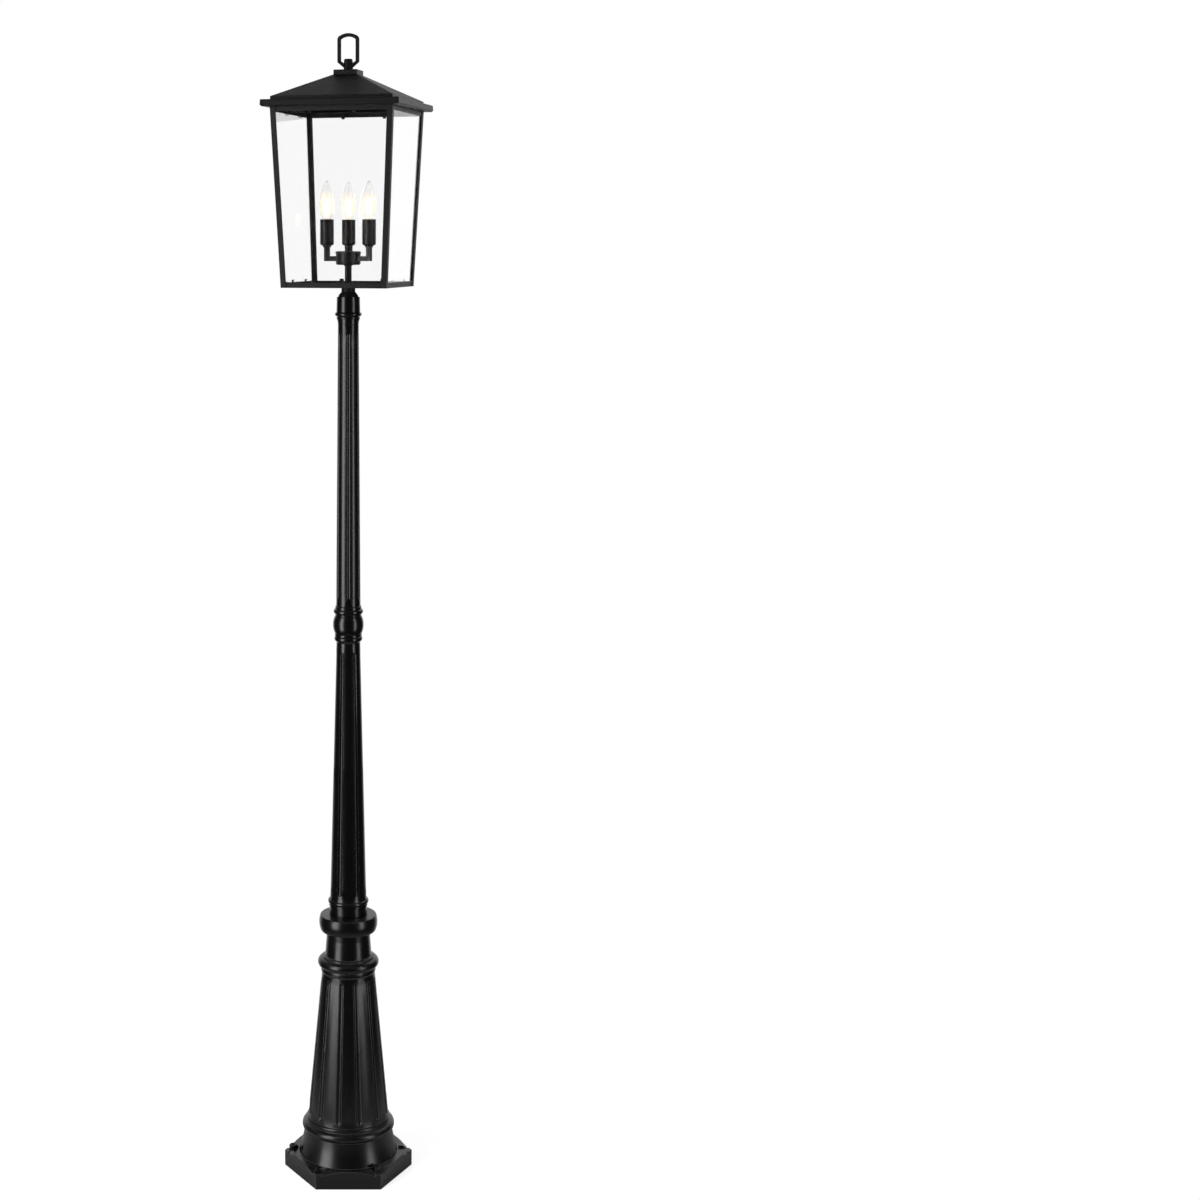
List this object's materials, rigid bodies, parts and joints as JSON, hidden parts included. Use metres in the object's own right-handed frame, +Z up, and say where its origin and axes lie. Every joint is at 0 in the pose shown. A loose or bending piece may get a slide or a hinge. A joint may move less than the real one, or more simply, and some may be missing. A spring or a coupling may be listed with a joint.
{
  "type": "lamp post",
  "caption": "Garden lamp post: a fluted cast post on a hexagonal foot with a tapered square glass lantern, a stepped roof with a loop, and a cluster of candle bulbs.",
  "frame": {"origin": "on the ground, at the centre of the post's hexagonal foot, on the post's axis", "axes": "+Z up along the post, -Y out of the lantern's front pane, +X to the right of it"},
  "size_m": [0.32, 0.32, 2.7292],
  "materials": {
    "post_paint": "smooth satin black paint",
    "lantern_paint": "fine sand-textured matt black powder coat",
    "cluster_paint": "satin black paint",
    "pane_glass": "clear flat glass",
    "zinc_steel": "zinc plated",
    "socket_plastic": "moulded black",
    "bulb_glass": "clear blown glass",
    "bulb_cap_metal": "bright rolled",
    "contact_brass": "bright",
    "filament_glass": "glass stem with glowing rods"
  },
  "bodies": {
    "post": {"base_casting": "post_paint", "anchor_washers": "post_paint", "anchor_nuts": "post_paint", "base_collar": "post_paint", "lower_shaft": "post_paint", "knuckle": "post_paint", "upper_shaft": "post_paint", "post_capital": "post_paint", "fitter_collar": "post_paint"},
    "lantern": {"neck_cup": "lantern_paint", "nipple": "zinc_steel", "nipple_nut": "zinc_steel", "tray": "lantern_paint", "corner_post_1": "lantern_paint", "corner_post_2": "lantern_paint", "corner_post_3": "lantern_paint", "corner_post_4": "lantern_paint", "top_frame": "lantern_paint", "glass_front": "pane_glass", "glass_right": "pane_glass", "glass_back": "pane_glass", "glass_left": "pane_glass", "bottom_clips": "lantern_paint", "top_clips": "lantern_paint", "roof_screws": "lantern_paint", "stem_tube": "cluster_paint", "stem_flange": "cluster_paint", "hub_body": "cluster_paint", "hub_lid": "cluster_paint", "hub_locknut": "zinc_steel", "arm_left": "cluster_paint", "arm_right": "cluster_paint", "arm_rear": "cluster_paint", "socket_washers": "cluster_paint", "sleeve_left": "cluster_paint", "sleeve_right": "cluster_paint", "sleeve_rear": "cluster_paint", "socket_left": "socket_plastic", "socket_right": "socket_plastic", "socket_rear": "socket_plastic"},
    "roof": {"roof_shell": "lantern_paint", "roof_tabs": "lantern_paint", "cap_plate": "lantern_paint", "finial_boss": "lantern_paint", "finial_loop": "lantern_paint", "finial_nut": "zinc_steel"},
    "bulb_rear_base": {"bulb_rear_contact": "contact_brass"},
    "bulb_rear": {"bulb_rear_glass": "bulb_glass", "bulb_rear_cap": "bulb_cap_metal", "bulb_rear_filament": "filament_glass"},
    "bulb_left_base": {"bulb_left_contact": "contact_brass"},
    "bulb_left": {"bulb_left_glass": "bulb_glass", "bulb_left_cap": "bulb_cap_metal", "bulb_left_filament": "filament_glass"},
    "bulb_right_base": {"bulb_right_contact": "contact_brass"},
    "bulb_right": {"bulb_right_glass": "bulb_glass", "bulb_right_cap": "bulb_cap_metal", "bulb_right_filament": "filament_glass"}
  },
  "joints": [
    {"name": "lantern_turn", "type": "hinge", "parent": "post", "child": "lantern", "pos_m": [0, 0, 2.1401], "axis": [0, 0, 1], "range_deg": [-180, 180]},
    {"name": "roof_lift", "type": "slide", "parent": "lantern", "child": "roof", "axis": [0, 0, 1], "range_m": [0, 0.15]},
    {"name": "bulb_rear_rise", "type": "slide", "parent": "lantern", "child": "bulb_rear_base", "axis": [0, 0, 1], "range_m": [0, 0.0127]},
    {"name": "bulb_rear_turn", "type": "hinge", "parent": "bulb_rear_base", "child": "bulb_rear", "pos_m": [-0.01436, 0.05361, 2.3157], "axis": [0, 0, 1], "range_deg": [0, 1800]},
    {"name": "bulb_left_rise", "type": "slide", "parent": "lantern", "child": "bulb_left_base", "axis": [0, 0, 1], "range_m": [0, 0.0127]},
    {"name": "bulb_left_turn", "type": "hinge", "parent": "bulb_left_base", "child": "bulb_left", "pos_m": [-0.03924, -0.03924, 2.3157], "axis": [0, 0, 1], "range_deg": [0, 1800]},
    {"name": "bulb_right_rise", "type": "slide", "parent": "lantern", "child": "bulb_right_base", "axis": [0, 0, 1], "range_m": [0, 0.0127]},
    {"name": "bulb_right_turn", "type": "hinge", "parent": "bulb_right_base", "child": "bulb_right", "pos_m": [0.05361, -0.01436, 2.3157], "axis": [0, 0, 1], "range_deg": [0, 1800]}
  ],
  "couplings": [
    {"joint": "bulb_rear_rise", "follows": "bulb_rear_turn", "m_per_rad": 0.00040425},
    {"joint": "bulb_left_rise", "follows": "bulb_left_turn", "m_per_rad": 0.00040425},
    {"joint": "bulb_right_rise", "follows": "bulb_right_turn", "m_per_rad": 0.00040425}
  ]
}
